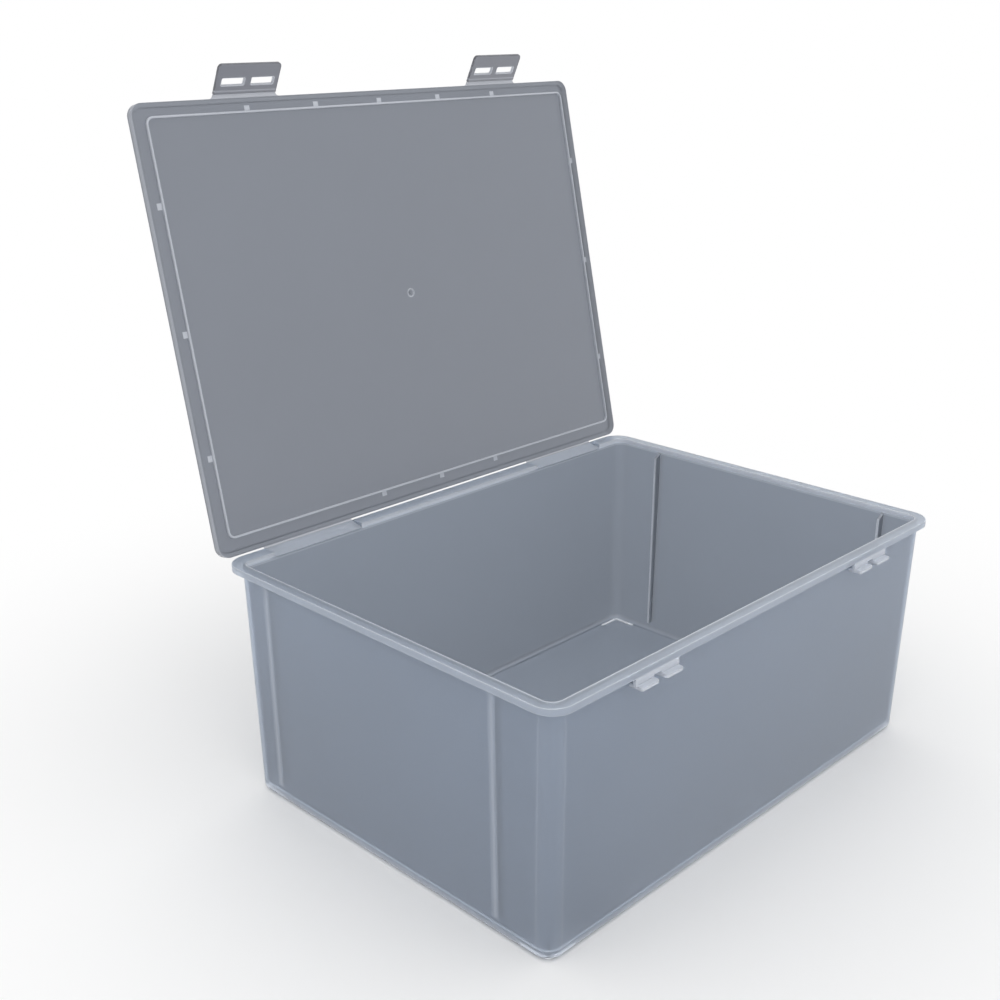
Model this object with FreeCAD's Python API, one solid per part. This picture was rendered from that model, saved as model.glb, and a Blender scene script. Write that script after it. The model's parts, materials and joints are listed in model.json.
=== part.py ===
import FreeCAD, Part
import math
import os

os.makedirs("parts", exist_ok=True)

# Frame: X along the front edge, -Y to the front, +Z up, origin under the tub's centre on the feet's plane.
# Lengths are in millimetres. The lid and its latches are drawn closed, and then turned to the rest pose.

# Driving sizes of the box
BOX_LENGTH = 340.0
BOX_DEPTH = 245.0
BOX_HEIGHT = 141.0
LID_OPEN_ANGLE = 102.5
LATCH_FOLD_ANGLE = 38.0

# Walls and floor of the tub
WALL = 2.6
FLOOR = 2.4
WALL_DRAFT = 3.0
WALL_CORNER = 8.8
BASE_ROUND = 2.5
FLOOR_ROUND_SHARE = 0.55
FOOT_HEIGHT = 1.2
FOOT_INSET = 3.6
FOOT_LEG = 18.0
FOOT_WIDTH = 2.8

# Rim around the mouth, wider at the back where it carries the hinges
RIM_OVERHANG = 4.4
RIM_PLATE = 1.8
RIM_CORNER = 13.0
BACK_LEDGE = 2.7
SKIRT = 1.6
SKIRT_HEIGHT = 3.9
MOUTH_RECESS = 0.5
MOUTH_DEPTH = 2.5
EDGE_ROUND = 0.3
EDGE_BEVEL = 0.3

# Ribs inside the end walls: the two ends are alike under a half turn
RIB_THICKNESS = 1.6
RIB_PLACE_SHARES = (0.756, -0.65)
RIB_TOP_INSET = 12.0
RIB_FOOT_INSET = 13.2
RIB_TOP_DROP = 6.5
RIB_FOOT_RISE = 6.0

# Lid
LID_GAP = 0.3
LID_PANEL = 1.8
LID_CORNER = 7.0
LID_EDGE_HEIGHT = 4.4
LID_EDGE = 2.2
TRAY_ROUND = 0.8
BEAD_GAP = 0.8
BEAD_WIDTH = 1.2
BEAD_HEIGHT = 1.6
BEAD_CORNER = 4.5
NUB_LENGTH = 3.6
NUB_INSET = 4.4
NUB_GAP = 0.1
NUB_FRONT_SHARES = (-1, -0.5, 0, 0.5, 1)
NUB_BACK_SHARES = (-0.5, 0, 0.5)
NUB_END_SHARES = (-0.56, 0, 0.56)
GATE_RADIUS = 2.4
GATE_DEPTH = 0.4
GATE_PIP_SHARE = 0.35

# Hinge films, and the sloping pads in the rim where the lid's films begin
FILM = 0.4
PAD_DROP = 0.35
HINGE_OFFSET_SHARE = 0.64
HINGE_WIDTH = 64.0
HINGE_REACH = 0.56
FOLD_REACH = 1.4

# Latches and catches
LATCH_OFFSET_SHARE = 0.57
FLAP_WIDTH = 42.0
FLAP_LENGTH = 17.5
FLAP_THICKNESS = 1.8
FLAP_CORNER = 2.5
FLARE = 2.5
WINDOW_HEIGHT = 4.4
WINDOW_REACH = 17.5
WINDOW_CORNER = 0.7
BAR_WIDTH = 4.4
CATCH_WIDTH = 33.0
WEB_DROP = 8.5
NOSE_DROP = 9.7
NOSE_THICKNESS = 2.1
NOSE_REACH = 3.7
NOSE_WIDTH = 13.0
NOSE_CORNER = 1.6
NOSE_BEVEL = 0.6
NOTCH_WIDTH = 5.6
NOTCH_RISE = 1.4
SWING_CLEARANCE = 0.35

# One overrun for every cut and every overlap, and the reach within which an edge counts as found
OVERRUN = 1.0
NEAR = 0.01

# Levels and half sizes that follow from them
HALF_X = BOX_LENGTH / 2
HALF_Y = BOX_DEPTH / 2
HINGE_OFFSET = HALF_X * HINGE_OFFSET_SHARE
LATCH_OFFSET = HALF_X * LATCH_OFFSET_SHARE
BACK_Y = HALF_Y + BACK_LEDGE
SKIRT_BOTTOM = BOX_HEIGHT - SKIRT_HEIGHT
FLOOR_TOP = FOOT_HEIGHT + FLOOR
WALL_LEAN = WALL_DRAFT / (BOX_HEIGHT - FOOT_HEIGHT)
RIM_WIDTH = RIM_OVERHANG + WALL - MOUTH_RECESS
INNER_CORNER = WALL_CORNER - WALL
MOUTH_CORNER = INNER_CORNER + MOUTH_RECESS
LID_UNDER = BOX_HEIGHT + LID_GAP
LID_TOP = LID_UNDER + LID_EDGE_HEIGHT
BEAD_INSET = RIM_WIDTH + BEAD_GAP

# Hinge lines, with the lid closed
TUB_FILM_Z = BOX_HEIGHT - PAD_DROP - FILM / 2
LID_FILM_Z = LID_UNDER + FILM / 2
LID_AXIS = FreeCAD.Vector(0, BACK_Y + HINGE_REACH, (TUB_FILM_Z + LID_FILM_Z) / 2)
LATCH_AXIS = FreeCAD.Vector(0, -HALF_Y - FOLD_REACH, LID_FILM_Z)

# The flap's window clears the nose all along the flap's swing
NOSE_TIP_RADIUS = math.hypot(LATCH_AXIS.z - BOX_HEIGHT + NOSE_DROP, NOSE_REACH - FOLD_REACH)
WINDOW_FAR = NOSE_TIP_RADIUS + SWING_CLEARANCE


def wall_half(half, z):
    """Half size of the tub's outer wall at a height, for one half size of the rim."""
    return half - RIM_OVERHANG - WALL_LEAN * (BOX_HEIGHT - z)


def box_between(low, high):
    """Block from one corner to the opposite one."""
    sizes = [b - a for a, b in zip(low, high)]
    return Part.makeBox(*sizes, FreeCAD.Vector(*low))


def upright_edges(shape):
    """Edges that run from one level to another."""
    return [edge for edge in shape.Edges if edge.BoundBox.ZLength > NEAR]


def level_edges(shape, z):
    """Edges that lie at one level."""
    return [edge for edge in shape.Edges if abs(edge.BoundBox.ZMin - z) + abs(edge.BoundBox.ZMax - z) < NEAR]


def edges_before(edges, y):
    """Those of the edges that lie wholly on the front side of a place."""
    return [edge for edge in edges if edge.BoundBox.YMax < y + NEAR]


def rounded_block(inset, corner, z_low, z_high, back_y=HALF_Y):
    """Upright block with the rim's outline moved in by an inset, and its own corner radius."""
    low = (inset - HALF_X, inset - HALF_Y, z_low)
    high = (HALF_X - inset, back_y - inset, z_high)
    block = box_between(low, high)
    return block.makeFillet(corner, upright_edges(block))


def leaning_block(inset, corner, base_round, z_low, z_high):
    """Block that keeps an inset from the tub's leaning outer wall, with rounded corners and base."""
    low_x, low_y = (wall_half(half, z_low) - inset for half in (HALF_X, HALF_Y))
    high_x, high_y = (wall_half(half, z_high) - inset for half in (HALF_X, HALF_Y))
    block = Part.makeWedge(-low_x, z_low, -low_y, -high_y, -high_x, low_x, z_high, low_y, high_y, high_x)
    block.rotate(FreeCAD.Vector(0, 0, 0), FreeCAD.Vector(1, 0, 0), 90)
    block = block.makeFillet(corner, upright_edges(block))
    return block.makeFillet(base_round, level_edges(block, z_low))


def outline_face(points):
    """Flat face within straight lines from point to point."""
    corners = [FreeCAD.Vector(*point) for point in points]
    return Part.Face(Part.makePolygon(corners + corners[:1]))


def bent_film(start_y, start_z, heading, turn, radius, x_middle, width):
    """Film of even thickness that leaves a point with a heading and bends to the left with a radius."""
    side = math.radians(heading - 90)
    centre = FreeCAD.Vector(0, start_y - radius * math.cos(side), start_z - radius * math.sin(side))

    def spot(distance, angle):
        around = side + math.radians(angle)
        return centre + FreeCAD.Vector(0, math.cos(around), math.sin(around)) * distance

    outer, inner = radius + FILM / 2, radius - FILM / 2
    edges = [
        Part.Arc(spot(outer, 0), spot(outer, turn / 2), spot(outer, turn)).toShape(),
        Part.makeLine(spot(outer, turn), spot(inner, turn)),
        Part.Arc(spot(inner, turn), spot(inner, turn / 2), spot(inner, 0)).toShape(),
        Part.makeLine(spot(inner, 0), spot(outer, 0)),
    ]
    film = Part.Face(Part.Wire(edges)).extrude(FreeCAD.Vector(width, 0, 0))
    film.translate(FreeCAD.Vector(x_middle - width / 2, 0, 0))
    return film


def make_rim():
    """Rim plate with its hanging skirt, filled in below the two hinge pads."""
    rim = rounded_block(0, RIM_CORNER, SKIRT_BOTTOM, BOX_HEIGHT, BACK_Y)
    rim = rim.makeFillet(EDGE_ROUND, level_edges(rim, BOX_HEIGHT) + level_edges(rim, SKIRT_BOTTOM))
    channel_top = BOX_HEIGHT - RIM_PLATE
    channel = rounded_block(SKIRT, RIM_CORNER - SKIRT, SKIRT_BOTTOM - OVERRUN, channel_top, BACK_Y)
    pieces = [rim.cut(channel)]
    for middle in (-HINGE_OFFSET, HINGE_OFFSET):
        low = (middle - HINGE_WIDTH / 2, HALF_Y - RIM_WIDTH, SKIRT_BOTTOM)
        high = (middle + HINGE_WIDTH / 2, BACK_Y - SKIRT / 2, BOX_HEIGHT - RIM_PLATE / 2)
        pieces.append(box_between(low, high))
    return pieces


def pad_cut(middle):
    """What is taken off the back rim at a hinge: it leaves a pad that slopes from the film to the mouth's ledge."""
    start = middle - HINGE_WIDTH / 2
    inner = HALF_Y - RIM_WIDTH
    pad_high, pad_low = BOX_HEIGHT - PAD_DROP, BOX_HEIGHT - MOUTH_DEPTH
    points = [
        (start, inner - OVERRUN, pad_low),
        (start, inner, pad_low),
        (start, BACK_Y, pad_high),
        (start, BACK_Y + OVERRUN, pad_high),
        (start, BACK_Y + OVERRUN, BOX_HEIGHT + OVERRUN),
        (start, inner - OVERRUN, BOX_HEIGHT + OVERRUN),
    ]
    return outline_face(points).extrude(FreeCAD.Vector(HINGE_WIDTH, 0, 0))


def make_nose(side):
    """One catch nose: a shelf from the wall to its tip, with rounded front corners and a bevel below."""
    low_z = BOX_HEIGHT - NOSE_DROP
    inner, outer = side * NOTCH_WIDTH / 2, side * (NOTCH_WIDTH / 2 + NOSE_WIDTH)
    back = -wall_half(HALF_Y, low_z) + WALL / 2
    tip = -HALF_Y - NOSE_REACH
    low = (min(inner, outer), tip, low_z)
    high = (max(inner, outer), back, low_z + NOSE_THICKNESS)
    nose = box_between(low, high)
    nose = nose.makeFillet(NOSE_CORNER, edges_before(upright_edges(nose), tip))
    return nose.makeChamfer(NOSE_BEVEL, edges_before(level_edges(nose, low_z), tip + NOSE_CORNER))


def make_catch(middle):
    """Catch under the front rim: a web flush with the skirt, notched between its two noses."""
    top = BOX_HEIGHT - RIM_PLATE / 2
    web_low = (-CATCH_WIDTH / 2, -HALF_Y, BOX_HEIGHT - WEB_DROP)
    web = box_between(web_low, (CATCH_WIDTH / 2, SKIRT - HALF_Y, top))
    notch_top = BOX_HEIGHT - NOSE_DROP + NOSE_THICKNESS + NOTCH_RISE
    notch_low = (-NOTCH_WIDTH / 2, -HALF_Y - OVERRUN, BOX_HEIGHT - NOSE_DROP)
    notch_high = (NOTCH_WIDTH / 2, SKIRT + OVERRUN - HALF_Y, notch_top)
    catch = web.cut(box_between(notch_low, notch_high))
    catch = catch.fuse([make_nose(-1), make_nose(1)])
    catch.translate(FreeCAD.Vector(middle, 0, 0))
    return catch


def make_rib(side, y):
    """Upright rib inside an end wall, bevelled below the mouth and cut off a little above the floor."""
    top = BOX_HEIGHT - MOUTH_DEPTH
    foot = FLOOR_TOP + RIB_FOOT_RISE
    start = y - RIB_THICKNESS / 2
    points = [
        (side * (wall_half(HALF_X, top) - WALL / 2), start, top),
        (side * (HALF_X - RIB_TOP_INSET), start, BOX_HEIGHT - RIB_TOP_DROP),
        (side * (HALF_X - RIB_FOOT_INSET), start, foot),
        (side * (wall_half(HALF_X, foot) - WALL / 2), start, foot),
    ]
    return outline_face(points).extrude(FreeCAD.Vector(0, RIB_THICKNESS, 0))


def make_foot(side_x, side_y):
    """L-shaped foot under one corner of the floor."""
    corner_x, corner_y = (wall_half(half, FOOT_HEIGHT) - FOOT_INSET for half in (HALF_X, HALF_Y))
    steps = [(0, 0), (FOOT_LEG, 0), (FOOT_LEG, FOOT_WIDTH), (FOOT_WIDTH, FOOT_WIDTH), (FOOT_WIDTH, FOOT_LEG)]
    steps.append((0, FOOT_LEG))
    points = [(side_x * (corner_x - step_x), side_y * (corner_y - step_y), 0) for step_x, step_y in steps]
    foot = outline_face(points).extrude(FreeCAD.Vector(0, 0, FOOT_HEIGHT + FLOOR / 2))
    corner = FreeCAD.Vector(*points[0]) + FreeCAD.Vector(0, 0, foot.BoundBox.Center.z)
    outer_edges = [edge for edge in upright_edges(foot) if edge.BoundBox.Center.sub(corner).Length < NEAR]
    return foot.makeFillet(BASE_ROUND, outer_edges)


def gate_mark(z_low, z_high):
    """Round hollow that the moulding gate leaves at the middle of a panel, with a pip in it."""
    well = Part.makeCylinder(GATE_RADIUS, z_high - z_low, FreeCAD.Vector(0, 0, z_low))
    pip = Part.makeCylinder(GATE_RADIUS * GATE_PIP_SHARE, z_high - z_low, FreeCAD.Vector(0, 0, z_low))
    return well.cut(pip)


def make_tub():
    """The tub as one moulding."""
    outer = leaning_block(0, WALL_CORNER, BASE_ROUND, FOOT_HEIGHT, BOX_HEIGHT - RIM_PLATE / 2)
    catches = [make_catch(middle) for middle in (-LATCH_OFFSET, LATCH_OFFSET)]
    tub = outer.fuse(make_rim() + catches)
    floor_round = INNER_CORNER * FLOOR_ROUND_SHARE
    cavity = leaning_block(WALL, INNER_CORNER, floor_round, FLOOR_TOP, BOX_HEIGHT + OVERRUN)
    mouth = rounded_block(RIM_WIDTH, MOUTH_CORNER, BOX_HEIGHT - MOUTH_DEPTH, BOX_HEIGHT + OVERRUN)
    gate = gate_mark(FLOOR_TOP - GATE_DEPTH, FLOOR_TOP)
    pad_cuts = [pad_cut(middle) for middle in (-HINGE_OFFSET, HINGE_OFFSET)]
    tub = tub.cut([cavity, mouth, gate] + pad_cuts)
    ribs = [make_rib(side, -side * HALF_Y * share) for side in (-1, 1) for share in RIB_PLACE_SHARES]
    feet = [make_foot(side_x, side_y) for side_x in (-1, 1) for side_y in (-1, 1)]
    return tub.fuse(ribs + feet).removeSplitter()


def make_nubs():
    """Stand-off nubs between the bead and the lid's edge, which stand on the tub's rim."""
    low, high = BOX_HEIGHT + NUB_GAP, LID_UNDER + LID_PANEL / 2
    root = BEAD_INSET + BEAD_WIDTH / 2
    half = NUB_LENGTH / 2
    nubs = []
    for x in [LATCH_OFFSET * share for share in NUB_FRONT_SHARES]:
        nubs.append(box_between((x - half, NUB_INSET - HALF_Y, low), (x + half, root - HALF_Y, high)))
    for x in [LATCH_OFFSET * share for share in NUB_BACK_SHARES]:
        nubs.append(box_between((x - half, HALF_Y - root, low), (x + half, HALF_Y - NUB_INSET, high)))
    for y in [HALF_Y * share for share in NUB_END_SHARES]:
        nubs.append(box_between((NUB_INSET - HALF_X, y - half, low), (root - HALF_X, y + half, high)))
        nubs.append(box_between((HALF_X - root, y - half, low), (HALF_X - NUB_INSET, y + half, high)))
    return nubs


def make_lid():
    """The lid, closed: a panel with a raised edge outside, and a locating bead with nubs inside."""
    lid = rounded_block(0, LID_CORNER, LID_UNDER, LID_TOP, BACK_Y)
    lid = lid.makeFillet(EDGE_ROUND, level_edges(lid, LID_TOP))
    tray = rounded_block(LID_EDGE, LID_CORNER - LID_EDGE, LID_UNDER + LID_PANEL, LID_TOP + OVERRUN, BACK_Y)
    tray = tray.makeFillet(TRAY_ROUND, level_edges(tray, LID_UNDER + LID_PANEL))
    bead_low, bead_high = LID_UNDER - BEAD_HEIGHT, LID_UNDER + LID_PANEL / 2
    bead = rounded_block(BEAD_INSET, BEAD_CORNER, bead_low, bead_high)
    inside = rounded_block(BEAD_INSET + BEAD_WIDTH, BEAD_CORNER - BEAD_WIDTH, bead_low - OVERRUN, LID_UNDER)
    bead = bead.cut(inside)
    bead = bead.makeChamfer(EDGE_BEVEL, level_edges(bead, bead_low))
    lid = lid.cut(tray).fuse([bead] + make_nubs())
    return lid.cut(gate_mark(LID_UNDER, LID_UNDER + GATE_DEPTH)).removeSplitter()


def make_flap(middle):
    """Latch flap, unfolded: a plate with two windows for the catch noses."""
    low_z, high_z = LATCH_AXIS.z - FLAP_THICKNESS / 2, LATCH_AXIS.z + FLAP_THICKNESS / 2
    start = LATCH_AXIS.y - FOLD_REACH
    end = start - FLAP_LENGTH
    flap = box_between((-FLAP_WIDTH / 2, end, low_z), (FLAP_WIDTH / 2, start, high_z))
    flap = flap.makeFillet(FLAP_CORNER, edges_before(upright_edges(flap), end))
    free_edges = edges_before(level_edges(flap, low_z) + level_edges(flap, high_z), start - FLAP_CORNER)
    flap = flap.makeChamfer(EDGE_BEVEL, free_edges)
    for side in (-1, 1):
        x_low, x_high = sorted((side * BAR_WIDTH / 2, side * WINDOW_REACH))
        window_low = (x_low, LATCH_AXIS.y - WINDOW_FAR, low_z - OVERRUN)
        window_high = (x_high, LATCH_AXIS.y - WINDOW_FAR + WINDOW_HEIGHT, high_z + OVERRUN)
        window = box_between(window_low, window_high)
        flap = flap.cut(window.makeFillet(WINDOW_CORNER, upright_edges(window)))
    flap.translate(FreeCAD.Vector(middle, 0, 0))
    flap.rotate(LATCH_AXIS, FreeCAD.Vector(1, 0, 0), LATCH_FOLD_ANGLE)
    return flap


def make_latch_film(middle):
    """Film between the lid's front edge and a folded flap, flared towards the lid."""
    radius = FOLD_REACH / math.tan(math.radians(LATCH_FOLD_ANGLE / 2))
    wide = FLAP_WIDTH + FLARE * 2
    film = bent_film(-HALF_Y, LID_FILM_Z, 180, LATCH_FOLD_ANGLE, radius, 0, wide)
    for side in (-1, 1):
        centre = FreeCAD.Vector(side * wide / 2, -HALF_Y - FLARE, LID_FILM_Z - OVERRUN - FOLD_REACH)
        round_cut = Part.makeCylinder(FLARE, (OVERRUN + FOLD_REACH) * 2, centre)
        beyond_low = (centre.x - FLARE, centre.y - FLARE, centre.z)
        beyond_high = (centre.x + FLARE, centre.y, centre.z + (OVERRUN + FOLD_REACH) * 2)
        film = film.cut([round_cut, box_between(beyond_low, beyond_high)])
    film.translate(FreeCAD.Vector(middle, 0, 0))
    return film


def make_lid_film(middle):
    """Film between the tub's hinge pad and the open lid."""
    turn = 180 - LID_OPEN_ANGLE
    radius = HINGE_REACH / math.tan(math.radians(turn / 2)) + (LID_FILM_Z - TUB_FILM_Z) / 2
    return bent_film(BACK_Y, TUB_FILM_Z, 0, turn, radius, middle, HINGE_WIDTH)


def opened(shape):
    """A shape that was drawn with the lid closed, turned to the rest pose."""
    shape.rotate(LID_AXIS, FreeCAD.Vector(-1, 0, 0), LID_OPEN_ANGLE)
    return shape


nodes = {"tub": make_tub(), "lid": opened(make_lid())}
for name, side in (("left", -1), ("right", 1)):
    nodes["lid_hinge_" + name] = make_lid_film(side * HINGE_OFFSET)
    nodes["latch_" + name] = opened(make_flap(side * LATCH_OFFSET))
    nodes["latch_hinge_" + name] = opened(make_latch_film(side * LATCH_OFFSET))

for name, shape in nodes.items():
    shape.exportStep("parts/" + name + ".step")
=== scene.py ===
import json
import math

import bpy
from mathutils import Matrix, Vector


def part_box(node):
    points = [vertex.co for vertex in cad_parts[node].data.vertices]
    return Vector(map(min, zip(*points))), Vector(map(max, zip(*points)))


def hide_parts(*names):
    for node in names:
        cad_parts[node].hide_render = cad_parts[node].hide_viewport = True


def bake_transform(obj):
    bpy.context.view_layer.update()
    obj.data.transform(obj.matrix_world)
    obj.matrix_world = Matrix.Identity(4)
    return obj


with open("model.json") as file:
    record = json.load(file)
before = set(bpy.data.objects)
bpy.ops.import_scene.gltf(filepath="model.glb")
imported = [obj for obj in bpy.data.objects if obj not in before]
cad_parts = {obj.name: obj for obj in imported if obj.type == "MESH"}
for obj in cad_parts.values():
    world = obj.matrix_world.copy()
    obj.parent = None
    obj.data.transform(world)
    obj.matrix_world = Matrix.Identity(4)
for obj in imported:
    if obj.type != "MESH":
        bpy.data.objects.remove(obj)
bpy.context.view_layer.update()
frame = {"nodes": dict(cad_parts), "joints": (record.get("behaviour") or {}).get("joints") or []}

nodes = frame["nodes"]
joints = {joint["name"]: joint for joint in frame["joints"]}

# Camera, from a fit to the photo: places in metres, angles in degrees, lens and sensor in millimetres
CAMERA_PLACE = (-0.55646, -0.46855, 0.42685)
CAMERA_AZIMUTH = -45.398
CAMERA_ELEVATION = 19.647
CAMERA_ROLL = -0.151
CAMERA_LENS = 48.61
CAMERA_SENSOR = 36.0
CAMERA_SHIFT_SHARES = (0.0047, -0.0044)
CAMERA_CLIP_START = 0.01

# Floor and light: sizes and places in metres, power in watts
FLOOR_SIZE = 12.0
FLOOR_SHADES = (0.9, 0.92)
FLOOR_SPOT_SCALE = 3.0
FLOOR_ROUGHNESS = 0.9
SHADOW_REACH = 0.4
SHADOW_FADE = 0.2
LAMP_SIZE = 1.6
LAMP_POWER = 6.0
LAMP_PLACE = (-1.0, -1.0, 1.8)
LAMP_AIM = (0.0, 0.0, 0.1)
WHITE = (1.0, 1.0, 1.0, 1.0)
WHITE_LEVEL = 1.0

# Colours of the plastic: the tub's outer walls, inner walls, floor and rim, the lid, the latches, the films
TUB_COLOUR = (0.69, 0.81, 1.0)
INSIDE_COLOUR = (0.185, 0.2, 0.228)
BOTTOM_COLOUR = (0.3, 0.33, 0.38)
RIM_COLOUR = (0.6, 0.68, 0.79)
LID_COLOUR = (0.265, 0.287, 0.333)
LATCH_COLOUR = (0.29, 0.3, 0.34)
FILM_COLOUR = (0.5, 0.52, 0.57)

# Two lighter looks, one milky and one clear, for thick plastic and for painted highlights and painted light
# on edges, lines, feet and corners
LIGHT_COLOUR = (0.8, 0.835, 0.9)
CLEAR_COLOUR = (0.92, 0.95, 1.0)

# The share of a lighter look in each zone; the mouth, edge, tangent, rib edge, border, bead and flap shares
# paint highlights, the gate share a glint, and the corner, base and foot shares paint light
MOUTH_HIGHLIGHT_SHARE = 0.95
EDGE_HIGHLIGHT_SHARE = 0.8
RIM_SHARE = 0.25
SKIRT_SHARE = 0.3
CORNER_LIGHT_SHARE = 0.1
TANGENT_HIGHLIGHT_SHARE = 0.15
BASE_LIGHT_SHARE = 0.45
CATCH_SHARE = 0.95
RIB_SHARE = 0.4
RIB_BAND_SHARE = 0.2
RIB_EDGE_HIGHLIGHT_SHARE = 0.8
PAD_SHARE = 0.5
FOOT_LIGHT_SHARE = 0.9
BORDER_HIGHLIGHT_SHARE = 0.05
BORDER_LINE_HIGHLIGHT_SHARE = 0.3
BEAD_HIGHLIGHT_SHARE = 0.75
GATE_GLINT_SHARE = 0.7
FLAP_HIGHLIGHT_SHARE = 0.4
STREAK_SHARE = 0.4

# How much light goes through a face, how much less where it is milky, the walls' shade low down, and the IOR
TRANSMISSION_SHARE = 0.8
LIGHT_SOLID_SHARE = 0.5
LOW_SHADE_SHARE = 0.7
PLASTIC_IOR = 1.49

# Roughness of the plastic, its mottle, its grain with a depth in metres, and the streaks of the films
ROUGHNESS = (0.28, 0.34)
LIGHT_ROUGHNESS = 0.45
NOISE_DETAIL = 2.0
MOTTLE_SCALE = 14.0
MOTTLE_DETAIL = 3.0
MOTTLE_SHARES = (0.96, 1.04)
GRAIN_SCALE = 700.0
GRAIN_DEPTH = 0.0002
GRAIN_SHARE = 0.01
STREAK_SCALE = 60.0

# Sizes of the solids that the shading follows, in metres
HALF_X = 0.17
HALF_Y = 0.1225
BACK_Y = 0.1252
RIM_TOP = 0.141
RIM_CORNER = 0.013
RIM_WIDTH = 0.0065
RIM_OVERHANG = 0.0044
SKIRT = 0.0016
SKIRT_HEIGHT = 0.0039
MOUTH_X = HALF_X - RIM_WIDTH
MOUTH_Y = HALF_Y - RIM_WIDTH
MOUTH_CORNER = 0.0067
MOUTH_DEPTH = 0.0025
WALL = 0.0026
WALL_X = HALF_X - RIM_OVERHANG
WALL_Y = HALF_Y - RIM_OVERHANG
WALL_LEAN = 0.02146
WALL_CORNER = 0.0088
FLOOR_TOP = 0.0036
FLOOR_MIDDLE = 0.0024
FLOOR_ROUND = 0.0035
FOOT_X = 0.159
FOOT_Y = 0.1115
FOOT_LEG = 0.018
FOOT_WIDTH = 0.0028
RIB_PLACES = (0.0926, -0.0796)
RIB_HALF = 0.0009
RIB_BAND_HALF = 0.0025
RIB_REACH = 0.1555
RIB_EDGE = 0.1588
RIB_FOOT = 0.0096
PAD_MIDDLE = 0.1088
PAD_HALF = 0.032
LID_UNDER = 0.1413
LID_CORNER = 0.007
LID_EDGE = 0.0022
GATE_RADIUS = 0.0024
FLAP_FOOT = 0.0014
FLAP_STEP = 0.0032
WINDOW_MIDDLE = 0.00985
WINDOW_HALF = 0.00765
WINDOW_LOW = 0.0064
WINDOW_HIGH = 0.0108
WINDOW_CORNER = 0.0007
NUB_HEIGHT = 0.0002

# Half the width of a fine and of a wide light line, and half the width over which a zone fades out
LINE = 0.0004
WIDE_LINE = 0.0008
SOFT = 0.0002

# Numbers of the colour sockets of a Mix node, whose names aren't unique
MIX_FIRST = 6
MIX_SECOND = 7
MIX_RESULT = 2


class Shader:
    """A material whose nodes are added one by one."""

    def __init__(self, name):
        self.material = bpy.data.materials.new(name)
        self.material.use_nodes = True
        self.tree = self.material.node_tree
        self.tree.nodes.clear()

    def add(self, kind, inputs=(), **settings):
        """A new node with settings, whose inputs are given as values or as other nodes' outputs."""
        made = self.tree.nodes.new("ShaderNode" + kind)
        for name, value in settings.items():
            setattr(made, name, value)
        for name, value in dict(inputs).items():
            if isinstance(value, bpy.types.NodeSocket):
                self.tree.links.new(value, made.inputs[name])
            else:
                made.inputs[name].default_value = value
        return made

    def calc(self, operation, first, second=0.0):
        """The result of a Math node."""
        return self.add("Math", {0: first, 1: second}, operation=operation).outputs["Value"]

    def parts(self, vector):
        """The three parts of a vector."""
        split = self.add("SeparateXYZ", {"Vector": vector}).outputs
        return split["X"], split["Y"], split["Z"]

    def flat_length(self, first, second):
        """The length of a vector with two parts."""
        flat = self.add("CombineXYZ", {"X": first, "Y": second}).outputs["Vector"]
        return self.add("VectorMath", {0: flat}, operation="LENGTH").outputs["Value"]

    def noise(self, place, scale, detail=NOISE_DETAIL):
        """A noise between 0 and 1."""
        return self.add("TexNoise", {"Vector": place, "Scale": scale, "Detail": detail}).outputs["Fac"]

    def spread(self, value, low, high, top=1.0):
        """A value between 0 and a top, spread between low and high."""
        inputs = {"Value": value, "From Max": top, "To Min": low, "To Max": high}
        return self.add("MapRange", inputs).outputs["Result"]

    def over(self, value, edge, soft=SOFT):
        """A mask that is 1 where a value lies over an edge."""
        inputs = {"Value": value, "From Min": edge - soft, "From Max": edge + soft}
        return self.add("MapRange", inputs, interpolation_type="SMOOTHSTEP").outputs["Result"]

    def under(self, value, edge, soft=SOFT):
        """A mask that is 1 where a value lies under an edge."""
        return self.opposite(self.over(value, edge, soft))

    def stripe(self, value, middle, half):
        """A mask that is 1 within half a width of a middle value."""
        away = self.calc("ABSOLUTE", self.calc("SUBTRACT", value, middle))
        return self.under(away, half)

    def inset(self, x, y, half_x, low_y, high_y, corner):
        """How far a place lies inside an outline with rounded corners."""
        across = self.calc("SUBTRACT", self.calc("ABSOLUTE", x), half_x - corner)
        from_middle = self.calc("ABSOLUTE", self.calc("SUBTRACT", y, (low_y + high_y) / 2))
        along = self.calc("SUBTRACT", from_middle, (high_y - low_y) / 2 - corner)
        round_part = self.flat_length(self.calc("MAXIMUM", across, 0.0), self.calc("MAXIMUM", along, 0.0))
        flat_part = self.calc("MINIMUM", self.calc("MAXIMUM", across, along), 0.0)
        return self.calc("SUBTRACT", corner, self.calc("ADD", round_part, flat_part))

    def opposite(self, mask):
        """A mask that is 1 where another is 0."""
        return self.calc("SUBTRACT", 1.0, mask)

    def all_of(self, *masks):
        """The product of masks."""
        whole = masks[0]
        for mask in masks[1:]:
            whole = self.calc("MULTIPLY", whole, mask)
        return whole

    def any_of(self, *masks):
        """The largest of masks."""
        whole = masks[0]
        for mask in masks[1:]:
            whole = self.calc("MAXIMUM", whole, mask)
        return whole

    def scaled(self, colour, share):
        """A share of a colour."""
        return self.add("VectorMath", {0: colour, "Scale": share}, operation="SCALE").outputs["Vector"]

    def mix(self, share, first, second):
        """A colour between two colours."""
        colours = [c if isinstance(c, bpy.types.NodeSocket) else (*c, 1.0) for c in (first, second)]
        inputs = {0: share, MIX_FIRST: colours[0], MIX_SECOND: colours[1]}
        return self.add("Mix", inputs, data_type="RGBA").outputs[MIX_RESULT]

    def end(self, surface):
        """Links the surface to the material's output."""
        self.add("OutputMaterial", {"Surface": surface})
        return self.material


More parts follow.
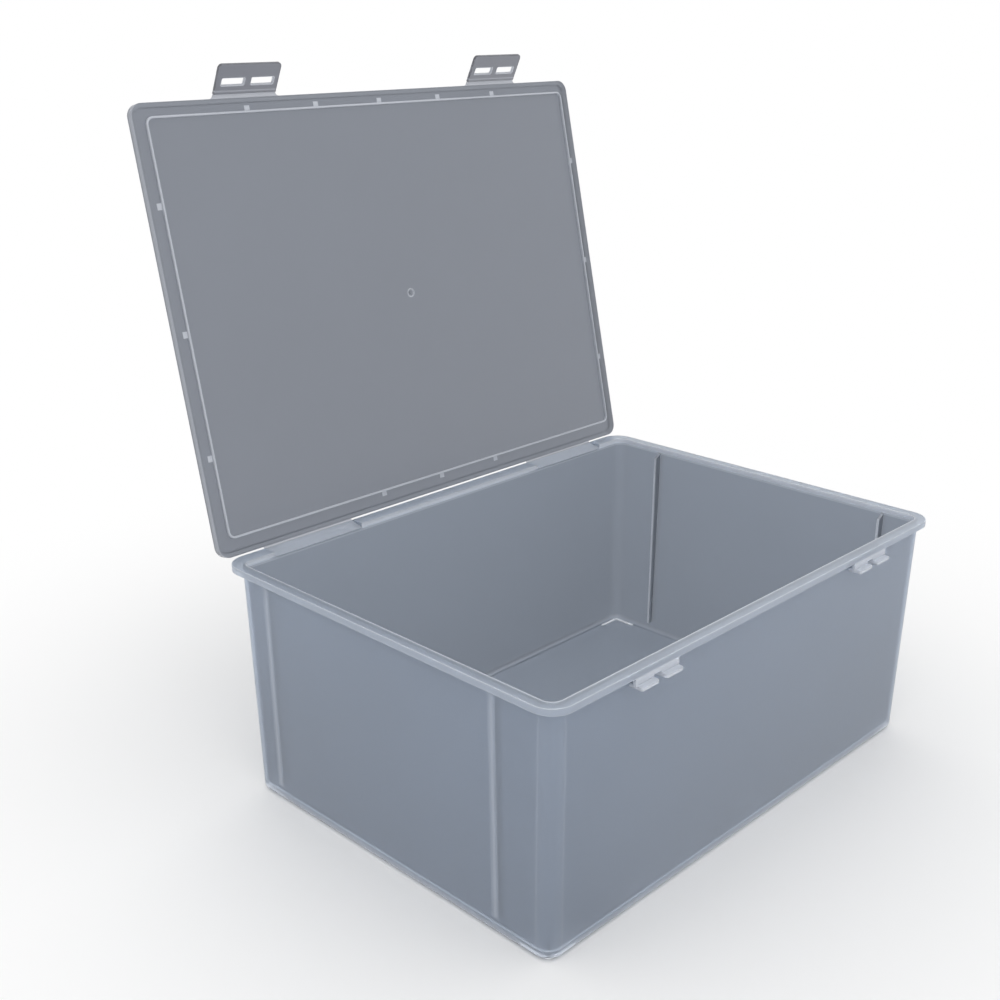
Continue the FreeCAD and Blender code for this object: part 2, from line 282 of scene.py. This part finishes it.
def frosted_plastic(name, colouring):
    """Frosted translucent plastic with a slight mottle and a fine grain."""
    shader = Shader(name)
    place = shader.add("TexCoord").outputs["Object"]
    colour, lightness = colouring(shader, place)
    mottle = shader.noise(place, MOTTLE_SCALE, MOTTLE_DETAIL)
    tint = shader.scaled(colour, shader.spread(mottle, *MOTTLE_SHARES))
    grain = {"Strength": GRAIN_SHARE, "Distance": GRAIN_DEPTH, "Height": shader.noise(place, GRAIN_SCALE)}
    # Lighter zones, thick plastic and painted highlights alike, get the lighter colour, more roughness and
    # less transmission
    light_roughness = shader.calc("MULTIPLY", lightness, LIGHT_ROUGHNESS)
    solid = shader.calc("MULTIPLY", lightness, TRANSMISSION_SHARE * LIGHT_SOLID_SHARE)
    body = shader.add("BsdfPrincipled", {
        "Base Color": shader.mix(lightness, tint, LIGHT_COLOUR),
        "Roughness": shader.calc("MAXIMUM", shader.spread(mottle, *ROUGHNESS), light_roughness),
        "IOR": PLASTIC_IOR,
        "Transmission Weight": shader.calc("SUBTRACT", TRANSMISSION_SHARE, solid),
        "Normal": shader.add("Bump", grain).outputs["Normal"],
    })
    return shader.end(body.outputs["BSDF"])


def rim_lightness(shader, place, depth, in_rim):
    """How light the rim is, with its skirt, its hinge pads and painted highlights along its edges."""
    x, y, _ = shader.parts(place)
    rim_inset = shader.inset(x, y, HALF_X, -HALF_Y, BACK_Y, RIM_CORNER)
    mouth_inset = shader.inset(x, y, MOUTH_X, -MOUTH_Y, MOUTH_Y, MOUTH_CORNER)
    whole = shader.all_of(in_rim, RIM_SHARE)
    skirt = shader.all_of(in_rim, shader.under(rim_inset, SKIRT / 2), shader.over(depth, LINE), SKIRT_SHARE)
    # Painted highlights along the mouth's edge, the rim's outer edge and the skirt's hem
    at_mouth = shader.stripe(mouth_inset, 0.0, WIDE_LINE)
    mouth_highlight = shader.all_of(at_mouth, shader.under(depth, MOUTH_DEPTH), MOUTH_HIGHLIGHT_SHARE)
    outer_edge_highlight = shader.all_of(shader.under(rim_inset, LINE), shader.stripe(depth, 0.0, LINE), EDGE_HIGHLIGHT_SHARE)
    at_hem = shader.stripe(depth, SKIRT_HEIGHT, LINE)
    hem_highlight = shader.all_of(at_hem, shader.under(rim_inset, SKIRT), EDGE_HIGHLIGHT_SHARE)
    along_pad = shader.stripe(shader.calc("ABSOLUTE", x), PAD_MIDDLE, PAD_HALF)
    pad = shader.all_of(along_pad, shader.over(y, MOUTH_Y - SOFT), in_rim, PAD_SHARE)
    return shader.any_of(whole, skirt, mouth_highlight, outer_edge_highlight, hem_highlight, pad)


def rib_zones(shader, place, below_skirt):
    """Masks for the ribs of the end walls and for wider bands along them."""
    x, y, z = shader.parts(place)
    along = shader.calc("MULTIPLY", y, shader.calc("MULTIPLY", shader.calc("SIGN", x), -1.0))
    at_wall = shader.over(shader.calc("ABSOLUTE", x), RIB_REACH)
    height = shader.all_of(at_wall, shader.over(z, RIB_FOOT), below_skirt)
    zones = []
    for half in (RIB_HALF, RIB_BAND_HALF):
        stripes = [shader.stripe(along, rib_place, half) for rib_place in RIB_PLACES]
        zones.append(shader.all_of(shader.any_of(*stripes), height))
    return zones


def corner_zones(shader, place, lean):
    """Masks for the rounded corners of the leaning walls and for the lines where the rounding starts."""
    x, y, _ = shader.parts(place)
    past = []
    for value, half in ((x, WALL_X), (y, WALL_Y)):
        past_upright = shader.calc("SUBTRACT", shader.calc("ABSOLUTE", value), half - WALL_CORNER)
        past.append(shader.calc("ADD", past_upright, lean))
    lines = []
    for one, other in (past, reversed(past)):
        lines.append(shader.all_of(shader.stripe(one, 0.0, WIDE_LINE), shader.over(other, 0.0)))
    rounding = [shader.over(value, 0.0, WALL) for value in past]
    return shader.all_of(*rounding), shader.any_of(*lines)


def foot_zone(shader, place):
    """A mask for the four L-shaped feet."""
    x, y, z = shader.parts(place)
    from_side = shader.calc("SUBTRACT", FOOT_X, shader.calc("ABSOLUTE", x))
    from_end = shader.calc("SUBTRACT", FOOT_Y, shader.calc("ABSOLUTE", y))
    nearest, furthest = (shader.calc(pick, from_side, from_end) for pick in ("MINIMUM", "MAXIMUM"))
    across_leg = shader.stripe(nearest, FOOT_WIDTH / 2, FOOT_WIDTH / 2)
    return shader.all_of(across_leg, shader.under(furthest, FOOT_LEG), shader.under(z, FLOOR_TOP + SOFT))


def tub_colouring(shader, place):
    """Colours of the tub's faces, lighter on its rim, catches and ribs, with painted light on its corners,
    base and feet and painted highlights along its edges.
    """
    x, y, z = shader.parts(place)
    depth = shader.calc("SUBTRACT", RIM_TOP, z)
    lean = shader.calc("MULTIPLY", depth, WALL_LEAN)
    upright_inset = shader.inset(x, y, WALL_X, -WALL_Y, WALL_Y, WALL_CORNER)
    wall_inset = shader.calc("SUBTRACT", upright_inset, lean)
    in_rim = shader.under(depth, SKIRT_HEIGHT + SOFT)
    below_skirt = shader.over(depth, SKIRT_HEIGHT)
    below_mouth = shader.over(depth, MOUTH_DEPTH + LINE)
    inside = shader.all_of(shader.over(wall_inset, WALL / 2), shader.over(z, FLOOR_MIDDLE), below_mouth)
    outside = shader.opposite(inside)
    bottom = shader.under(z, FLOOR_TOP + FLOOR_ROUND / 2, FLOOR_ROUND / 2)
    rib_zone, rib_band_zone = rib_zones(shader, place, below_skirt)
    corner_zone, tangent_zone = corner_zones(shader, place, lean)

    rim = rim_lightness(shader, place, depth, in_rim)
    catch = shader.all_of(shader.under(wall_inset, -SOFT), below_skirt, CATCH_SHARE)
    rib = shader.all_of(rib_zone, outside, RIB_SHARE)
    rib_band = shader.all_of(rib_band_zone, outside, RIB_BAND_SHARE)
    # Painted light on the rounded corners and painted highlight lines where their rounding starts
    corner = shader.all_of(corner_zone, below_skirt, outside, CORNER_LIGHT_SHARE)
    tangent_highlight = shader.all_of(tangent_zone, below_skirt, outside, TANGENT_HIGHLIGHT_SHARE)
    # Painted light on the outer base, against its contact shadow
    base = shader.all_of(bottom, shader.under(wall_inset, WALL / 2), BASE_LIGHT_SHARE)
    lightness = shader.any_of(rim, catch, rib, rib_band, corner, tangent_highlight, base)

    rib_inside = shader.all_of(rib_zone, inside, RIB_SHARE)
    at_rib_edge = shader.under(shader.calc("ABSOLUTE", x), RIB_EDGE)
    # Painted highlight along the ribs' free edges
    rib_edge_highlight = shader.all_of(rib_zone, at_rib_edge, RIB_EDGE_HIGHLIGHT_SHARE)
    # Painted light on the feet, which sit in shadow
    foot = shader.all_of(foot_zone(shader, place), FOOT_LIGHT_SHARE)
    clearness = shader.any_of(rib_inside, rib_edge_highlight, foot)

    wall_colour = shader.scaled(TUB_COLOUR, shader.spread(z, LOW_SHADE_SHARE, 1.0, RIM_TOP))
    outer_colour = shader.mix(in_rim, wall_colour, RIM_COLOUR)
    inner_colour = shader.mix(bottom, INSIDE_COLOUR, BOTTOM_COLOUR)
    colour = shader.mix(inside, outer_colour, inner_colour)
    return shader.mix(clearness, colour, CLEAR_COLOUR), lightness


def lid_colouring(shader, place):
    """Colours of the lid, found on the closed lid: painted highlights on its border, bead and nubs, and a
    painted glint on its gate mark.
    """
    hinge = joints["lid_hinge"]
    closing = math.radians(-hinge["range_deg"][0])
    turn = {"Vector": place, "Center": hinge["pos_m"], "Angle": closing}
    turned = shader.add("VectorRotate", turn, rotation_type="X_AXIS").outputs["Vector"]
    x, y, z = shader.parts(turned)
    lid_inset = shader.inset(x, y, HALF_X, -HALF_Y, BACK_Y, LID_CORNER)
    # Painted highlights along the border and its edge line, on the bead and nubs, and a painted glint on the
    # gate mark
    border = shader.all_of(shader.under(lid_inset, LID_EDGE), BORDER_HIGHLIGHT_SHARE)
    border_line_highlight = shader.all_of(shader.under(lid_inset, LINE), BORDER_LINE_HIGHLIGHT_SHARE)
    bead = shader.all_of(shader.under(z, LID_UNDER - NUB_HEIGHT / 2, NUB_HEIGHT / 4), BEAD_HIGHLIGHT_SHARE)
    gate = shader.all_of(shader.stripe(shader.flat_length(x, y), GATE_RADIUS, LINE), GATE_GLINT_SHARE)
    return LID_COLOUR, shader.any_of(border, border_line_highlight, bead, gate)


def latch_colouring(hinge_name):
    """A colouring for a latch: painted highlight lines round its windows and across its foot, next to the
    fold.
    """
    hinge_place = joints[hinge_name]["pos_m"]

    def colouring(shader, place):
        offset = shader.add("VectorMath", {0: place, 1: hinge_place}, operation="SUBTRACT").outputs["Vector"]
        x, y, z = shader.parts(offset)
        reach = shader.flat_length(y, z)
        from_window = shader.calc("SUBTRACT", shader.calc("ABSOLUTE", x), WINDOW_MIDDLE)
        window_inset = shader.inset(from_window, reach, WINDOW_HALF, WINDOW_LOW, WINDOW_HIGH, WINDOW_CORNER)
        # Painted highlight lines round the windows and across the foot
        window_highlight = shader.all_of(shader.stripe(window_inset, 0.0, LINE), EDGE_HIGHLIGHT_SHARE)
        at_step = shader.stripe(reach, FLAP_STEP, LINE)
        foot_highlight_lines = shader.any_of(shader.under(reach, FLAP_FOOT + LINE), at_step)
        return LATCH_COLOUR, shader.any_of(window_highlight, shader.all_of(foot_highlight_lines, FLAP_HIGHLIGHT_SHARE))

    return colouring


def film_colouring(shader, place):
    """Colours of the hinge films, whitened in streaks."""
    return FILM_COLOUR, shader.all_of(shader.noise(place, STREAK_SCALE), STREAK_SHARE)


def dress(piece, material):
    """Gives a piece one material."""
    piece.data.materials.clear()
    piece.data.materials.append(material)


def make_film(node_name, material, body_a, body_b, start, end):
    """A copy of a film's mesh, with the film plastic, in place of the CAD node."""
    film = bpy.data.objects.new(node_name + "_film", nodes[node_name].data.copy())
    bpy.context.scene.collection.objects.link(film)
    dress(film, material)
    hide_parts(node_name)
    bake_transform(film)
    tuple(start)
    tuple(end)


# Tub, lid and latches, and the films from the tub to the lid and from the lid to a latch
dress(nodes["tub"], frosted_plastic("tub plastic", tub_colouring))
dress(nodes["lid"], frosted_plastic("lid plastic", lid_colouring))
film_plastic = frosted_plastic("film plastic", film_colouring)
for side in ("left", "right"):
    latch = "latch_" + side
    lid_film = "lid_hinge_" + side
    latch_film = "latch_hinge_" + side
    dress(nodes[latch], frosted_plastic("latch plastic " + side, latch_colouring(latch_film)))
    low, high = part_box(lid_film)
    middle = (low[0] + high[0]) / 2
    ends = (middle, low[1], low[2]), (middle, high[1], high[2])
    make_film(lid_film, film_plastic, "tub", "lid", *ends)
    low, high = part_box(latch_film)
    middle = (low[0] + high[0]) / 2
    ends = (middle, high[1], low[2]), (middle, low[1], high[2])
    make_film(latch_film, film_plastic, "lid", latch, *ends)


def seen_white(shader, lit, far):
    """White in place of a lit surface: far off for the camera, and all over in gloss and glass."""
    path = shader.add("LightPath").outputs
    seen_far = shader.all_of(path["Is Camera Ray"], far)
    white = shader.add("Emission", {"Color": WHITE, "Strength": WHITE_LEVEL}).outputs["Emission"]
    share = shader.any_of(seen_far, path["Is Glossy Ray"], path["Is Transmission Ray"])
    return shader.add("MixShader", {0: share, 1: lit, 2: white}).outputs["Shader"]


# Floor, which keeps the object's shadow and is plain white further off
bpy.ops.mesh.primitive_plane_add(size=FLOOR_SIZE, location=(0.0, 0.0, 0.0))
floor = bpy.context.object
floor.name = "floor"
ground = Shader("floor")
ground_place = ground.add("TexCoord").outputs["Object"]
ground_shade = ground.spread(ground.noise(ground_place, FLOOR_SPOT_SCALE), *FLOOR_SHADES)
paper = ground.add("BsdfPrincipled", {"Base Color": ground_shade, "Roughness": FLOOR_ROUGHNESS})
ground_x, ground_y, _ = ground.parts(ground_place)
far_mask = ground.over(ground.flat_length(ground_x, ground_y), SHADOW_REACH, SHADOW_FADE)
dress(floor, ground.end(seen_white(ground, paper.outputs["BSDF"], far_mask)))

# Light: an even white sky and one large soft lamp over the front left
world = bpy.data.worlds.new("studio")
world.use_nodes = True
sky = world.node_tree.nodes["Background"].inputs
sky["Color"].default_value = WHITE
sky["Strength"].default_value = WHITE_LEVEL
bpy.context.scene.world = world
lamp_data = bpy.data.lights.new("soft lamp", "AREA")
lamp_data.size = LAMP_SIZE
lamp_data.energy = LAMP_POWER
lamp = bpy.data.objects.new("soft lamp", lamp_data)
lamp.location = LAMP_PLACE
lamp.rotation_euler = (Vector(LAMP_AIM) - lamp.location).to_track_quat("-Z", "Y").to_euler()
bpy.context.scene.collection.objects.link(lamp)

# Camera
azimuth, elevation, roll = (math.radians(v) for v in (CAMERA_AZIMUTH, CAMERA_ELEVATION, CAMERA_ROLL))
level = math.cos(elevation)
back = Vector((math.sin(azimuth) * level, -math.cos(azimuth) * level, math.sin(elevation)))
right = (-back).cross(Vector((0.0, 0.0, 1.0))).normalized()
upward = right.cross(-back)
turned_right = right * math.cos(roll) + upward * math.sin(roll)
turned_up = upward * math.cos(roll) - right * math.sin(roll)
camera_data = bpy.data.cameras.new("camera")
camera_data.sensor_width = CAMERA_SENSOR
camera_data.lens = CAMERA_LENS
camera_data.shift_x, camera_data.shift_y = CAMERA_SHIFT_SHARES
camera_data.clip_start = CAMERA_CLIP_START
camera = bpy.data.objects.new("camera", camera_data)
turn = Matrix((turned_right, turned_up, back)).transposed().to_4x4()
camera.matrix_world = Matrix.Translation(CAMERA_PLACE) @ turn
bpy.context.scene.collection.objects.link(camera)
bpy.context.scene.camera = camera
bpy.context.scene.view_settings.view_transform = "Standard"
